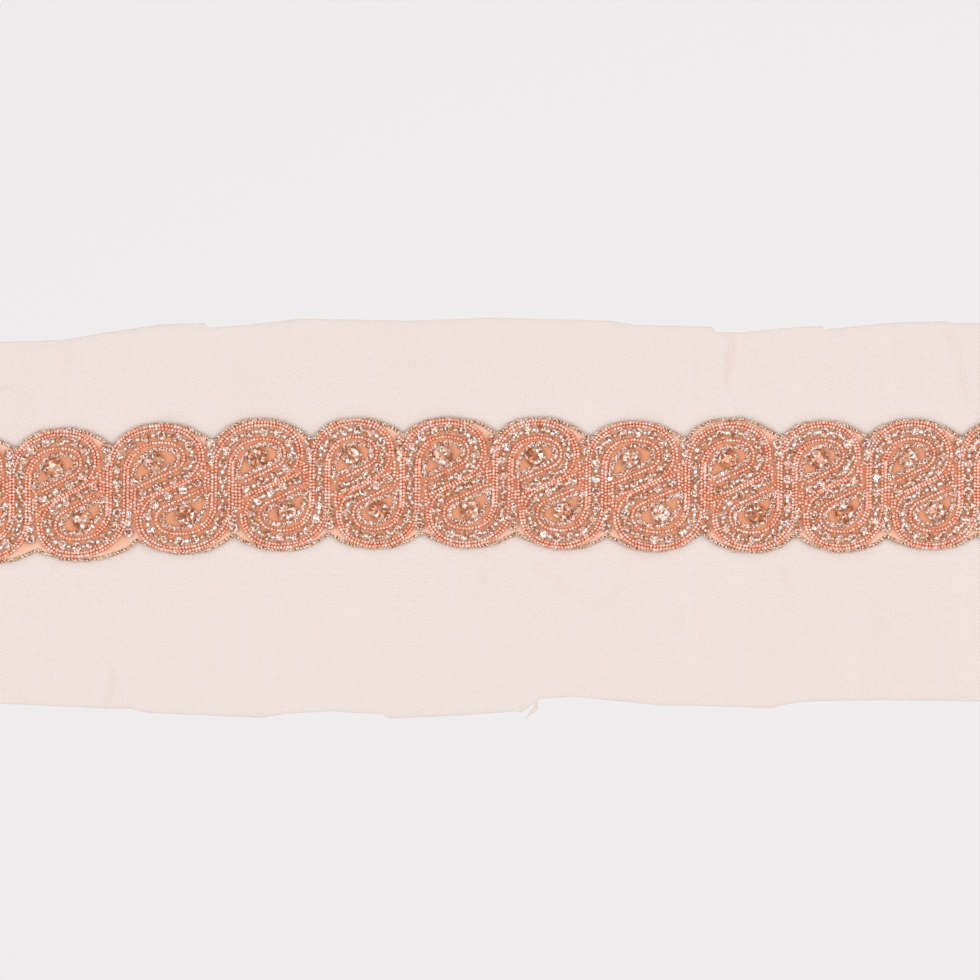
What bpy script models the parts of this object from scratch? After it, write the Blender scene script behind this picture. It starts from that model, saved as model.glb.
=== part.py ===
"""A cut length of beaded trim, laid flat: a sheer net ground whose two margins lie in
soft creases, a scalloped ground cloth down its middle, a metal braid along each scalloped
edge, a row of S-scrolls of beads and rhinestones, and a large stone in each scroll's eye.

Sizes are in millimetres and turn into metres where a mesh is made.  +X runs along the
band, +Y across it and +Z up.  The origin is on the net's underside, on the band's middle
line.  The scrolls are drawn on an even strip, one PITCH apart, and lay() carries them to
where the hand-worked band really lies.
"""

import bisect
import math

import bmesh
import bpy
from mathutils import Vector

MM = 0.001

# Layers, from the surface up
NET_THICK = 1.0
LAYER_GAP = 0.3
CLOTH_THICK = 1.0
CLOTH_BOTTOM = NET_THICK + LAYER_GAP
CLOTH_TOP = CLOTH_BOTTOM + CLOTH_THICK
BEADING_BOTTOM = CLOTH_TOP + LAYER_GAP

# The repeat
PITCH = 36.0
MOTIFS = 12

# Where each scroll's column crosses the band's middle line
COLUMNS = [
    # x, y
    (-216.2, -5.5),
    (-179.5, -4.4),
    (-142.5, -2.1),
    (-102.6, -0.4),
    (-65.7, 0.7),
    (-31.5, 0.8),
    (3.8, 1.0),
    (39.1, 0.0),
    (76.8, -0.4),
    (111.7, -0.4),
    (145.5, 0.0),
    (180.5, 0.3),
    (216.2, 0.2),
]

# The notches between the scallops. The first and last are on the cut ends.
NOTCHES = [
    # upper x, upper y, lower x, lower y
    (-220.4, 12.8, -220.4, -24.6),
    (-181.0, 13.7, -172.6, -25.0),
    (-144.2, 15.1, -134.6, -21.4),
    (-106.3, 16.5, -98.2, -19.5),
    (-68.9, 17.6, -62.4, -18.8),
    (-33.8, 19.7, -27.1, -18.3),
    (2.1, 20.1, 8.9, -18.4),
    (37.2, 17.9, 43.7, -19.5),
    (73.0, 17.8, 79.2, -18.4),
    (109.4, 18.4, 115.0, -19.3),
    (142.5, 18.6, 149.3, -20.0),
    (178.2, 18.6, 184.0, -19.3),
    (220.4, 18.6, 220.4, -19.0),
]

# How far out the crown of each scallop reaches
CROWNS = [
    # upper y, lower y
    (20.3, -30.0),
    (21.8, -28.8),
    (23.7, -26.2),
    (25.3, -25.0),
    (25.6, -24.2),
    (25.7, -23.8),
    (25.7, -24.4),
    (24.5, -25.2),
    (25.6, -25.7),
    (24.4, -25.5),
    (24.9, -24.5),
    (25.3, -24.6),
]
STEPS_PER_SCALLOP = 8
UPPER, LOWER = 0, 1

# How full each half of a scallop is: a higher power hugs the scroll more closely
FULLNESS = [
    # left half, right half
    (3.0, 2.0),
    (2.0, 2.4),
]

# A scroll's hook, from its column's middle to its end: each row is a stretch
HOOK = [
    # length, turn to the right in degrees
    (8.0, 0.0),
    (14.7, 70.0),
    (12.6, 40.0),
    (19.4, 135.5),
    (16.0, 0.0),
]
STONES_PER_HOOK = 13

# The scroll's section: half its width on the column and inside the hook, on the hook's
# outer side, and where two hooks lie side by side
SCROLL_HALF = 3.05
ARCH_HALF = 2.75
SHARED_HALF = 2.3
BEAD_ROW_INSET = 0.55
BEAD_HEIGHT = 1.3
STONE_HEIGHT = 2.1
SPACER_HEIGHT = 0.9

# The ring of small stones round each eye, raised on the ground cloth: how far it lies
# inside the scroll's middle line, its section, and where it starts and ends on the hook
RING_OFFSET = 4.3
RING_HALF = 0.8
RING_HEIGHT = 1.3
RING_START = 3.5
RING_END_BACK = 2.7
RING_STATIONS = 15
RING_ROOT = 0.5

# The large stone in each eye
EYE = Vector((12.6, 10.3))
EYE_STONE_SIDES = 8
EYE_STONE_PROFILE = [
    # radius, height
    (3.0, 0.0),
    (3.4, 1.4),
    (1.8, 3.2),
]

# The metal braid on the scalloped edge: its width, its height, how far its middle lies
# inside the edge, and its section in shares of the width and height
BRAID_WIDTH = 1.1
BRAID_HEIGHT = 1.2
BRAID_INSET = 0.6
BRAID_SECTION = [
    # across, up
    (-0.5, 0.0),
    (0.5, 0.0),
    (0.32, 1.0),
    (-0.32, 1.0),
]

# The net's cut edges
UPPER_EDGE = [
    # x, y
    (-220.8, 54.2),
    (-187.3, 54.5),
    (-163.8, 55.1),
    (-149.3, 57.6),
    (-126.9, 61.0),
    (-109.4, 61.6),
    (-107.9, 59.9),
    (-92.3, 61.0),
    (-73.3, 63.3),
    (-31.5, 62.5),
    (-0.4, 63.7),
    (44.5, 62.5),
    (53.2, 61.0),
    (83.2, 60.2),
    (84.7, 58.3),
    (93.5, 58.0),
    (116.7, 60.2),
    (125.0, 60.6),
    (126.2, 59.3),
    (153.1, 61.8),
    (171.8, 62.3),
    (174.4, 61.8),
    (220.8, 61.2),
]
LOWER_EDGE = [
    # x, y
    (-220.8, -82.7),
    (-187.3, -83.0),
    (-153.1, -84.6),
    (-138.3, -84.9),
    (-131.5, -86.5),
    (-104.1, -87.6),
    (-88.5, -88.4),
    (-77.9, -86.8),
    (-61.9, -85.9),
    (-42.2, -87.1),
    (-39.1, -88.7),
    (-11.0, -87.4),
    (8.4, -85.9),
    (9.9, -91.0),
    (17.9, -85.7),
    (18.6, -81.1),
    (30.8, -80.4),
    (49.4, -82.2),
    (63.5, -83.7),
    (76.8, -83.8),
    (105.6, -84.7),
    (112.1, -83.2),
    (118.2, -82.2),
    (149.7, -81.6),
    (185.1, -82.2),
    (220.8, -82.7),
]

# The net's main creases
CREASES = [
    # start x, start y, end x, end y, height, half width
    (88.9, 58.3, 90.4, 35.5, 2.6, 1.8),
    (77.5, 60.2, 78.7, 38.2, 1.3, 2.4),
    (156.6, 59.9, 157.0, 42.0, 1.2, 2.4),
    (173.7, 62.1, 176.3, 32.5, 2.1, 2.6),
    (-97.3, 50.7, -96.2, 29.5, 1.0, 2.8),
    (146.8, -39.7, 147.0, -81.5, 3.0, 3.4),
    (72.2, -35.9, 71.1, -58.0, 2.4, 2.6),
    (-65.0, -43.5, -62.7, -83.4, 1.8, 4.0),
    (-106.4, -32.0, -105.6, -83.4, 1.5, 4.0),
    (-144.8, -70.0, -145.9, -83.8, 2.0, 2.0),
    (12.2, -28.3, 25.5, -42.8, 1.6, 3.2),
    (25.5, -42.8, 42.6, -45.8, 1.4, 3.2),
    (-1.1, -30.2, -8.7, -48.0, 1.2, 3.6),
]
LEAST_LIFT = 0.1

# The net is flat this far from the band's middle line, and its creases rise beyond
FLAT_HALF = 26.5
CREASE_RISE = 6.0

# How finely the net is divided
NET_COLUMN_STEP = 9.0
LEAST_COLUMN_STEP = 0.6
UPPER_ROWS = 5
LOWER_ROWS = 8


# Where the pattern lies
def smooth_between(rows, t):
    """The point of a Catmull-Rom curve through rows at t, which counts rows."""
    last = len(rows) - 1
    i = max(0, min(last - 1, math.floor(t)))
    f = t - i
    p = [Vector(rows[max(0, min(last, j))]) for j in range(i - 1, i + 3)]
    if i == 0:
        p[0] = 2 * p[1] - p[2]
    if i == last - 1:
        p[3] = 2 * p[2] - p[1]
    if not 0 <= f <= 1:
        return p[1] + (p[2] - p[1]) * f
    return 0.5 * (
        2 * p[1]
        + (p[2] - p[0]) * f
        + (2 * p[0] - 5 * p[1] + 4 * p[2] - p[3]) * f * f
        + (3 * p[1] - p[0] - 3 * p[2] + p[3]) * f ** 3
    )


def lay(along, across):
    """Carries a point of the even strip to its place on the band."""
    place = smooth_between(COLUMNS, along / PITCH)
    return Vector((place.x, place.y + across))


def scalloped_edge(side):
    """Points along one scalloped edge: an arch over each motif, from notch to notch."""
    notches = [Vector(row[2 * side : 2 * side + 2]) for row in NOTCHES]
    points = []
    for start, end, crown in zip(notches, notches[1:], CROWNS):
        middle, half = (start + end) / 2, (end - start) / 2
        rise = crown[side] - middle.y
        for i in range(STEPS_PER_SCALLOP):
            share = 2 * i / STEPS_PER_SCALLOP - 1
            power = FULLNESS[side][share > 0]
            arch = rise * (1 - abs(share) ** power)
            points.append(middle + share * half + Vector((0.0, arch)))
    return points + [notches[-1]]


# The scroll's middle line
HOOK_LENGTH = sum(length for length, turn in HOOK)


def hook_point(distance):
    """Place and direction on the upper hook, distance along it from the column's middle."""
    place, heading = Vector((0.0, 0.0)), math.pi / 2
    for length, turn in HOOK:
        run = min(distance, length)
        bend = math.radians(turn) * run / length
        if turn:
            radius = length / math.radians(turn)
            side = Vector((math.sin(heading), -math.cos(heading)))
            turned = Vector((math.sin(heading - bend), -math.cos(heading - bend)))
            place = place + radius * (side - turned)
        else:
            place = place + run * Vector((math.cos(heading), math.sin(heading)))
        heading -= bend
        distance -= run
        if distance <= 0:
            break
    return place, Vector((math.cos(heading), math.sin(heading)))


def scroll_point(distance, offset):
    """A point offset to the left of the scroll's middle line. The lower hook, at negative
    distances, is the upper one given a half turn about the column's middle."""
    if distance < 0:
        return -scroll_point(-distance, -offset)
    place, ahead = hook_point(distance)
    return place + offset * Vector((-ahead.y, ahead.x))


# Meshes
def material(name, colour, roughness, metallic=0.0, alpha=1.0):
    made = bpy.data.materials.new(name)
    made.use_nodes = True
    shader = made.node_tree.nodes["Principled BSDF"]
    shader.inputs["Base Color"].default_value = (*colour, 1.0)
    shader.inputs["Roughness"].default_value = roughness
    shader.inputs["Metallic"].default_value = metallic
    shader.inputs["Alpha"].default_value = alpha
    return made


def piece(name, points, faces, finish):
    """A named object from points in millimetres, with its faces turned outwards."""
    mesh = bpy.data.meshes.new(name)
    mesh.from_pydata([tuple(c * MM for c in p) for p in points], [], faces)
    work = bmesh.new()
    work.from_mesh(mesh)
    bmesh.ops.recalc_face_normals(work, faces=work.faces)
    work.to_mesh(mesh)
    work.free()
    mesh.materials.append(finish)
    made = bpy.data.objects.new(name, mesh)
    bpy.context.scene.collection.objects.link(made)
    return made


def swept(sections, closed=False):
    """Points and faces of a solid that joins equal sections, each a loop of points."""
    count, across = len(sections), len(sections[0])
    points = [p for section in sections for p in section]
    faces = []
    for i in range(count if closed else count - 1):
        a, b = i * across, (i + 1) % count * across
        for j in range(across):
            k = (j + 1) % across
            faces.append((a + j, a + k, b + k, b + j))
    if not closed:
        faces.append(tuple(range(across)))
        faces.append(tuple(range((count - 1) * across, count * across)))
    return points, faces


# The net
def on_edge(edge, x):
    """Height of a cut edge at x."""
    i = bisect.bisect_right([row[0] for row in edge], x)
    i = max(1, min(len(edge) - 1, i))
    (x0, y0), (x1, y1) = edge[i - 1], edge[i]
    return y0 + (y1 - y0) * (x - x0) / (x1 - x0)


def middle_line(x):
    """Height of the band's middle line at x."""
    i = bisect.bisect_right([row[0] for row in COLUMNS], x)
    i = max(1, min(len(COLUMNS) - 1, i))
    (x0, y0), (x1, y1) = COLUMNS[i - 1], COLUMNS[i]
    return y0 + (y1 - y0) * (x - x0) / (x1 - x0)


def crease_height(x, y):
    """How far the net is lifted off the surface. It lies flat under the band."""
    clear = (abs(y - middle_line(x)) - FLAT_HALF) / CREASE_RISE
    if clear <= 0:
        return 0.0
    lift = 0.0
    here = Vector((x, y))
    for x0, y0, x1, y1, height, half in CREASES:
        start, run = Vector((x0, y0)), Vector((x1 - x0, y1 - y0))
        share = max(0.0, min(1.0, (here - start).dot(run) / run.length_squared))
        away = (here - start - share * run).length
        lift = max(lift, height * math.exp(-((away / half) ** 2)))
    return lift * min(1.0, clear) if lift > LEAST_LIFT else 0.0


def net_columns():
    """Places along the net where its mesh has a line: even steps, edges and creases."""
    first, last = UPPER_EDGE[0][0], UPPER_EDGE[-1][0]
    steps = round((last - first) / NET_COLUMN_STEP)
    even = [first + (last - first) * i / steps for i in range(steps + 1)]
    wanted = {x for x, y in UPPER_EDGE + LOWER_EDGE}
    for x0, y0, x1, y1, height, half in CREASES:
        middle = (x0 + x1) / 2
        wanted |= {middle - half, middle, middle + half}
    kept = sorted(wanted)
    for x in even:
        if min(abs(x - other) for other in kept) > NET_COLUMN_STEP / 2:
            bisect.insort(kept, x)
    spaced = [kept[0]]
    for x in kept[1:]:
        if x - spaced[-1] > LEAST_COLUMN_STEP:
            spaced.append(x)
    return spaced


def net_ground():
    lines = []
    for x in net_columns():
        upper, lower = on_edge(UPPER_EDGE, x), on_edge(LOWER_EDGE, x)
        high, low = middle_line(x) + FLAT_HALF, middle_line(x) - FLAT_HALF
        rows = [lower + (low - lower) * i / LOWER_ROWS for i in range(LOWER_ROWS + 1)]
        rows += [high + (upper - high) * i / UPPER_ROWS for i in range(UPPER_ROWS + 1)]
        under = [(x, y, crease_height(x, y)) for y in rows]
        over = [(x, y, z + NET_THICK) for x, y, z in under]
        lines.append(under + over[::-1])
    rows = UPPER_ROWS + LOWER_ROWS + 2
    points, faces = swept(lines)
    faces = faces[:-2]
    for line in (0, len(lines) - 1):
        first = line * 2 * rows
        for i in range(rows - 1):
            low, top = first + i, first + 2 * rows - 1 - i
            faces.append((low, low + 1, top - 1, top))
    return piece("net_ground", points, faces, NET)


# The ground cloth, with a raised ring round each eye
def eye_ring(column, turned):
    """Sections of the closed ridge round one eye of the scroll at this column."""
    sections = []
    reach = HOOK_LENGTH - RING_END_BACK - RING_START
    for i in range(RING_STATIONS):
        distance = RING_START + reach * i / (RING_STATIONS - 1)
        section = []
        for side, height in ((-1, -RING_ROOT), (1, -RING_ROOT), (0, RING_HEIGHT)):
            local = scroll_point(distance, -RING_OFFSET + side * RING_HALF)
            place = lay(column * PITCH + turned * local.x, turned * local.y)
            section.append((*place, CLOTH_TOP + height))
        sections.append(section)
    return sections


def band_cloth():
    sections = []
    for upper, lower in zip(scalloped_edge(UPPER), scalloped_edge(LOWER)):
        sections.append(
            [
                (*lower, CLOTH_BOTTOM),
                (*upper, CLOTH_BOTTOM),
                (*upper, CLOTH_TOP),
                (*lower, CLOTH_TOP),
            ]
        )
    cloth = piece("band_cloth", *swept(sections), CLOTH)
    points, faces = [], []
    for column, turned in eyes():
        ring_points, ring_faces = swept(eye_ring(column, turned), closed=True)
        faces += [tuple(len(points) + v for v in face) for face in ring_faces]
        points += ring_points
    rings = piece("eye_rings", points, faces, CLOTH)
    rings.hide_render = True
    rings.display_type = "WIRE"
    joining = cloth.modifiers.new("raised_rings", "BOOLEAN")
    joining.operation = "UNION"
    joining.object = rings
    return cloth


# The scrolls
def scroll(name, column, first, last):
    """A scroll's strip of beading, between two half stone steps counted from its middle."""
    half_step = HOOK_LENGTH / STONES_PER_HOOK / 2
    diagonal = HOOK_LENGTH - HOOK[-1][0]
    sections = []
    for step in range(first, last + 1):
        distance = step * half_step
        crown = STONE_HEIGHT if step % 2 else SPACER_HEIGHT
        outer = SCROLL_HALF if abs(distance) <= HOOK[0][0] else ARCH_HALF
        outer = SHARED_HALF if abs(distance) > diagonal - half_step else outer
        left, right = (outer, SCROLL_HALF) if distance >= 0 else (SCROLL_HALF, outer)
        section = []
        for offset, height in (
            (-right, 0.0),
            (left, 0.0),
            (left - BEAD_ROW_INSET, BEAD_HEIGHT),
            (0.0, crown),
            (BEAD_ROW_INSET - right, BEAD_HEIGHT),
        ):
            local = scroll_point(distance, offset)
            place = lay(column * PITCH + local.x, local.y)
            section.append((*place, BEADING_BOTTOM + height))
        sections.append(section)
    return piece(name, *swept(sections), BEADING)


def scrolls():
    """Whole scrolls between the motifs, and at each cut end the hook that is left."""
    whole, cut = 2 * STONES_PER_HOOK, -4
    for column in range(MOTIFS + 1):
        first = cut if column == 0 else -whole
        last = -cut if column == MOTIFS else whole
        scroll(f"scroll_{column:02d}", column, first, last)


# The large stones
def eyes():
    """Each eye's column, and 1 for an upper one or -1 for a lower one, half turned."""
    upper = [(column, 1) for column in range(MOTIFS)]
    return upper + [(column, -1) for column in range(1, MOTIFS + 1)]


def eye_stones():
    for column, turned in eyes():
        middle = lay(column * PITCH + turned * EYE.x, turned * EYE.y)
        loops = []
        for radius, height in EYE_STONE_PROFILE:
            loop = []
            for i in range(EYE_STONE_SIDES):
                angle = 2 * math.pi * i / EYE_STONE_SIDES
                edge = middle + radius * Vector((math.cos(angle), math.sin(angle)))
                loop.append((*edge, BEADING_BOTTOM + height))
            loops.append(loop)
        row = "upper" if turned > 0 else "lower"
        motif = column + 1 if turned > 0 else column
        piece(f"eye_stone_{row}_{motif:02d}", *swept(loops), STONE)


# The metal braids
def edge_braid(name, side):
    edge = scalloped_edge(side)
    inwards = 1 if side else -1
    sections = []
    for i, place in enumerate(edge):
        ahead = (edge[min(i + 1, len(edge) - 1)] - edge[max(i - 1, 0)]).normalized()
        across = Vector((0.0, inwards)) if i in (0, len(edge) - 1) else None
        across = across or inwards * Vector((-ahead.y, ahead.x))
        section = []
        for aside, up in BRAID_SECTION:
            point = place + across * (BRAID_INSET + aside * BRAID_WIDTH)
            section.append((*point, BEADING_BOTTOM + up * BRAID_HEIGHT))
        sections.append(section)
    return piece(name, *swept(sections), BRAID)


for old in list(bpy.data.objects):
    bpy.data.objects.remove(old)

NET = material("sheer_net", (0.86, 0.73, 0.67), 0.8, alpha=0.45)
CLOTH = material("tan_ground_cloth", (0.60, 0.33, 0.21), 0.75)
BEADING = material("coral_beading", (0.80, 0.30, 0.18), 0.3)
STONE = material("peach_stone", (0.75, 0.42, 0.32), 0.1, metallic=0.3)
BRAID = material("pale_gold_braid", (0.72, 0.52, 0.36), 0.35, metallic=0.8)

net_ground()
band_cloth()
edge_braid("edge_braid_upper", UPPER)
edge_braid("edge_braid_lower", LOWER)
scrolls()
eye_stones()
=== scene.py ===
"""Looks of a cut length of beaded trim: sheer net with soft creases, a tan scalloped ground
cloth, twisted metal braid along its edges, S-scrolls of set rhinestones between rows of
seed beads, and a large stone in a ring of small ones in the eye of each hook.

Sizes are in millimetres and turn into metres where a mesh is made.  The scrolls are drawn
on an even strip, one PITCH apart, and lay() carries them to where they lie on the band.
"""

import bisect
import math
import random

import bmesh
import bpy
import numpy as np
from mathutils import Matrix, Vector


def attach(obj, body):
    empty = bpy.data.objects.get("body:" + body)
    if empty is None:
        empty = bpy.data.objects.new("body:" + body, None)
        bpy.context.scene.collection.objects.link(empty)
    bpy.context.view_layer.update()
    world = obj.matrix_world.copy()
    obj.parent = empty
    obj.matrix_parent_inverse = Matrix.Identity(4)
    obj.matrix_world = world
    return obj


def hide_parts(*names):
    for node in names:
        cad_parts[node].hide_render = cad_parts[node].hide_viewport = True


MM = 0.001

# The photograph's frame, as the real width that it spans and the point at its middle
VIEW_WIDTH = 372.4
VIEW_CENTRE = (-1.1, -1.8)
LENS = 200.0
SENSOR = 36.0

# Layers, from the surface up
NET_THICK = 0.15
NET_LEVEL = 0.22
CLOTH_TOP = 2.3

# The ground cloth's own thickness and unevenness, how it slopes down to the net along its
# edge and its cut ends, where its rows of points lie, and how far in its paler edge reaches
CLOTH_THICK = 0.5
UNEVEN = 0.08
RIM_DROP = 1.52
RIM_WIDTH = 1.6
END_RIM = 0.8
RIM_STEPS = [0.0, 0.35, 0.75, 1.2, 1.8]
MIDDLE_FROM = 3.6
MIDDLE_ROWS = 26
PALE_REACH = 6.5

# The repeat
PITCH = 36.0
MOTIFS = 12

# Where each scroll's column crosses the band's middle line
COLUMNS = [
    # x, y
    (-216.2, -5.5),
    (-179.5, -4.4),
    (-142.5, -2.1),
    (-102.6, -0.4),
    (-65.7, 0.7),
    (-31.5, 0.8),
    (3.8, 1.0),
    (39.1, 0.0),
    (76.8, -0.4),
    (111.7, -0.4),
    (145.5, 0.0),
    (180.5, 0.3),
    (216.2, 0.2),
]

# The notches between the scallops. The first and last are on the cut ends.
NOTCHES = [
    # upper x, upper y, lower x, lower y
    (-220.4, 12.8, -220.4, -24.6),
    (-181.0, 13.7, -172.6, -25.0),
    (-144.2, 15.1, -134.6, -21.4),
    (-106.3, 16.5, -98.2, -19.5),
    (-68.9, 17.6, -62.4, -18.8),
    (-33.8, 19.7, -27.1, -18.3),
    (2.1, 20.1, 8.9, -18.4),
    (37.2, 17.9, 43.7, -19.5),
    (73.0, 17.8, 79.2, -18.4),
    (109.4, 18.4, 115.0, -19.3),
    (142.5, 18.6, 149.3, -20.0),
    (178.2, 18.6, 184.0, -19.3),
    (220.4, 18.6, 220.4, -19.0),
]

# How far out the crown of each scallop reaches
CROWNS = [
    # upper y, lower y
    (20.3, -30.0),
    (21.8, -28.8),
    (23.7, -26.2),
    (25.3, -25.0),
    (25.6, -24.2),
    (25.7, -23.8),
    (25.7, -24.4),
    (24.5, -25.2),
    (25.6, -25.7),
    (24.4, -25.5),
    (24.9, -24.5),
    (25.3, -24.6),
]
STEPS_PER_SCALLOP = 48
UPPER, LOWER = 0, 1

# How full each half of a scallop is: a higher power hugs the scroll more closely
FULLNESS = [
    # left half, right half
    (3.0, 2.0),
    (2.0, 2.4),
]

# A scroll's hook, from its column's middle to its end: each row is a stretch
HOOK = [
    # length, turn to the right in degrees
    (8.0, 0.0),
    (14.7, 70.0),
    (12.6, 40.0),
    (19.4, 135.5),
    (16.0, 0.0),
]
HOOK_LENGTH = sum(length for length, turn in HOOK)

# How far along a line its direction is taken
AIM = 0.3
NEAR = 0.2

# Stones and spacer beads take turns along each hook. CUT_STEPS is how many half steps of
# them the seed rows run on past a column's middle where the band is cut.
STONES_PER_HOOK = 13
CUT_STEPS = 4

# Rows of seed beads beside the upper hook. Distances run along the hook from its column's
# middle, and are negative on the lower hook. Offsets are to the left of the way along.
SEED_PITCH = 1.2
SEED_WIDTH = 1.48
SEED_LENGTH = 1.14
SEED_SIDES = 7
ROW_STEP = 0.4
JITTER = 0.09
SEED_ROWS = [
    # stops of the row: distance, offset
    [(-67.0, 2.9), (-14.0, 2.9), (-6.0, 2.4), (6.0, 2.3), (49.0, 2.3), (56.0, 2.05), (70.0, 2.05)],
    [(-9.0, 3.65), (6.0, 3.6), (46.0, 3.6)],
    [(3.0, -3.65), (12.0, -4.1), (19.0, -4.1)],
]

# Straight lines of beads that fill the wedge right of a column, under its hook's end
FILL_LINES = 5
FILL_FIRST = 4.85
FILL_STEP = 1.25
FILL_TOP = 4.0
FILL_BOTTOM = -17.0
FILL_ROOM = 0.33
FILL_PITCH = (0.95, 1.15)

# Set rhinestones, how much of their width the stone itself takes up inside its claws, and
# the spacer beads between them
STONE_WIDTH = 4.2
STONE_SHARE = 0.94
SPACER_WIDTH = 1.7
SPACER_LENGTH = 1.9
NOTCH_STONES = [
    # x, y from the column's middle, size
    (-3.9, 16.0, 1.0),
    (-3.6, 12.3, 0.95),
    (-4.3, 9.2, 0.7),
]

# The ring of small stones round each eye, as a row inside the upper hook. It swells out at
# its shoulder, and keeps clear of the column.
RING_WIDTH = 2.4
RING_SHARE = 0.92
RING_PITCH = 1.9
RING_OFFSET = 5.0
RING_SHOULDER = 1.9
RING_SHOULDER_AT = 15.0
RING_SHOULDER_HALF = 9.0
RING_FROM = 4.0
RING_CLEAR = 4.9
RING_STEPS = 80

# The large stone in each eye
EYE = Vector((12.6, 10.3))
EYE_STONE_WIDTH = 7.4
EYE_RAISED = 0.1

# How unevenly things are set: the range of tilts about each axis, and of sizes
SEED_LIE = (0.9, 0.12, 0.12), 0.16
FILL_LIE = (0.9, 0.15, 0.2), 0.16
SPACER_LIE = (0.9, 0.2, 0.3), 0.2
STONE_LIE = (0.25, 0.25, 0.8), 0.08
RING_LIE = (0.3, 0.3, 3.0), 0.15
EYE_LIE = (0.16, 0.16, 1.6), 0.05

# The twisted braid on the scalloped edge
BRAID_INSET = 0.6
BRAID_LEVEL = 2.25
PLY_RADIUS = 0.42
LAY_RADIUS = 0.4
TWIST_PITCH = 2.7
PLY_SIDES = 6
BRAID_STEP = 0.27
BRAID_WANDER = 0.3
WANDER_STEPS = 9

# The net's cut edges
UPPER_EDGE = [
    # x, y
    (-220.8, 54.2),
    (-187.3, 54.5),
    (-163.8, 55.1),
    (-149.3, 57.6),
    (-126.9, 61.0),
    (-109.4, 61.6),
    (-107.9, 59.9),
    (-92.3, 61.0),
    (-73.3, 63.3),
    (-31.5, 62.5),
    (-0.4, 63.7),
    (44.5, 62.5),
    (53.2, 61.0),
    (83.2, 60.2),
    (84.7, 58.3),
    (93.5, 58.0),
    (116.7, 60.2),
    (125.0, 60.6),
    (126.2, 59.3),
    (153.1, 61.8),
    (171.8, 62.3),
    (174.4, 61.8),
    (220.8, 61.2),
]
LOWER_EDGE = [
    # x, y
    (-220.8, -82.7),
    (-187.3, -83.0),
    (-153.1, -84.6),
    (-138.3, -84.9),
    (-131.5, -86.5),
    (-104.1, -87.6),
    (-88.5, -88.4),
    (-77.9, -86.8),
    (-61.9, -85.9),
    (-42.2, -87.1),
    (-39.1, -88.7),
    (-11.0, -87.4),
    (8.4, -85.9),
    (10.8, -86.4),
    (16.6, -82.3),
    (18.6, -81.1),
    (30.8, -80.4),
    (49.4, -82.2),
    (63.5, -83.7),
    (76.8, -83.8),
    (105.6, -84.7),
    (112.1, -83.2),
    (118.2, -82.2),
    (149.7, -81.6),
    (185.1, -82.2),
    (220.8, -82.7),
]

# The net's main creases
CREASES = [
    # start x, start y, end x, end y, height, half width, how dense it looks
    (88.9, 58.3, 90.4, 35.5, 2.6, 1.6, 2.9),
    (77.5, 60.2, 78.7, 38.2, 1.3, 2.4, 0.4),
    (156.6, 59.9, 157.0, 42.0, 1.2, 2.4, 0.4),
    (173.3, 61.1, 175.6, 51.4, 2.1, 1.8, 1.8),
    (175.6, 51.4, 180.1, 24.8, 1.9, 2.0, 1.5),
    (155.0, 55.2, 155.2, 49.5, 1.0, 1.4, 0.9),
    (-97.3, 50.7, -96.2, 29.5, 1.0, 2.8, 0.2),
    (146.8, -39.7, 147.0, -81.5, 3.0, 4.4, 0.9),
    (72.2, -45.9, 71.1, -58.0, 2.4, 2.2, 1.3),
    (-65.0, -43.5, -62.7, -83.4, 1.8, 4.0, 0.3),
    (-106.4, -42.0, -105.6, -83.4, 1.5, 4.0, 0.3),
    (-144.8, -70.0, -145.9, -83.8, 2.0, 2.0, 1.6),
    (14.1, -22.7, 20.5, -34.1, 1.6, 2.0, 1.4),
    (20.5, -34.1, 38.0, -46.6, 1.4, 2.0, 1.2),
    (107.5, -30.3, 114.0, -39.0, 1.4, 1.6, 1.1),
    (-1.1, -30.2, -8.7, -48.0, 1.2, 3.6, 0.5),
]
FAINT_CREASES = [
    # start x, start y, end x, end y, height, half width, how dense it looks
    (-162.0, 53.0, -161.0, 32.0, 0.8, 2.4, 0.5),
    (29.3, 44.0, 30.0, 31.0, 0.8, 2.6, 0.5),
    (-187.0, -47.0, -164.0, -50.0, 0.7, 2.4, 0.6),
    (77.0, -30.0, 80.0, -62.0, 1.2, 1.8, 0.6),
    (100.0, 45.0, 110.0, 30.0, 0.7, 3.0, 0.4),
    (38.0, -46.6, 50.0, -38.0, 0.8, 2.4, 0.6),
    (128.0, -40.0, 126.0, -78.0, 0.8, 5.0, 0.3),
    (-216.0, -60.0, -190.0, -52.0, 0.7, 3.0, 0.4),
]
FULL_DENSITY = 3.0
CREASE_FADE = 0.52

# What the creases' heights and half widths are multiplied by, how much wider their denser
# look is, and how they sway to the side
SOFTER = 0.4
WIDER = 1.3
DENSE_WIDER = 1.1
SWAY = 1.2
SWAY_TURN = 4.0

# The net's slow ripples, their height, and what they are measured by
RIPPLE = 0.1
RIPPLES = [
    # millimetres along x and y for each radian, start
    (9.0, 23.0, 0.0),
    (5.3, -31.0, 1.0),
]

# A torn scrap of it at the lower edge
SCRAP = [(16.6, -82.4), (12.2, -88.8), (17.2, -85.0)]
SCRAP_RISE = 0.3
SCRAP_FOLD = 0.4

# How much denser and warmer the net is painted next to the band's edges, a painted glow of the
# band's colour bounced onto it, and how far out it reaches
BAND_GLOW = 0.3
BAND_GLOW_REACH = 2.2

# Creases start this far from the band's middle line and rise over this width
FLAT_HALF = 26.5
CREASE_RISE = 6.0

# The size of the net's faces and of its holes
NET_STEP = 1.6
NET_MESH = 1.0

# How much light the net stops between its threads, and how much more it stops at a thread,
# in a crease and in the painted glow next to the band, and in a blotch
HOLE_DENSITY = 0.115
THREAD_DENSITY = 0.045
CREASE_DENSITY = 0.075
BLOTCH_DENSITY = 0.08
BLOTCH_SCALE = (26.0, 9.0, 1.0)


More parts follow.
